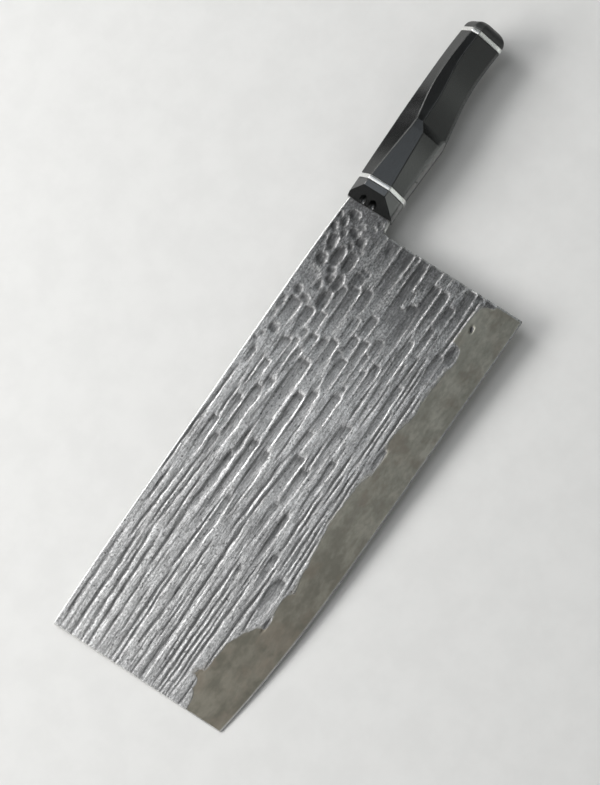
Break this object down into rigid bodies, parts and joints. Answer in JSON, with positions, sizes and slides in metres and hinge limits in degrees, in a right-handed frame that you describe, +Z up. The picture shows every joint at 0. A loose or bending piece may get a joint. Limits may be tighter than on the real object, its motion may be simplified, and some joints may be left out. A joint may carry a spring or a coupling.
{
  "type": "cleaver",
  "caption": "Broad kitchen cleaver with a tall hammered steel blade, ground bevel, and black faceted handle with bright metal spacers, for slicing and chopping.",
  "frame": {"origin": "centre of the bounding box on the surface that the knife lies on, z = 0", "axes": "+X from handle to blade tip, +Y from spine to cutting edge, +Z up, with the knife lying on its side as in the picture, on the tip end and the underside of the handle"},
  "size_m": [0.3286, 0.0964, 0.0216],
  "materials": {
    "blade_steel": "hammered grey faces, satin ground bevel",
    "black_wood": "black, smooth satin polish",
    "spacer_metal": "bright, fine brushed",
    "resin": "cured resin, matte",
    "dowel_steel": "plain drawn rod"
  },
  "bodies": {
    "root": {"blade": "blade_steel", "bolster": "black_wood", "front_spacer": "spacer_metal", "grip": "black_wood", "tang_bedding": "resin", "rear_spacer": "spacer_metal", "pommel": "black_wood", "front_dowel_spine": "dowel_steel", "front_dowel_belly": "dowel_steel", "rear_dowel_spine": "dowel_steel", "rear_dowel_belly": "dowel_steel"}
  },
  "joints": []
}
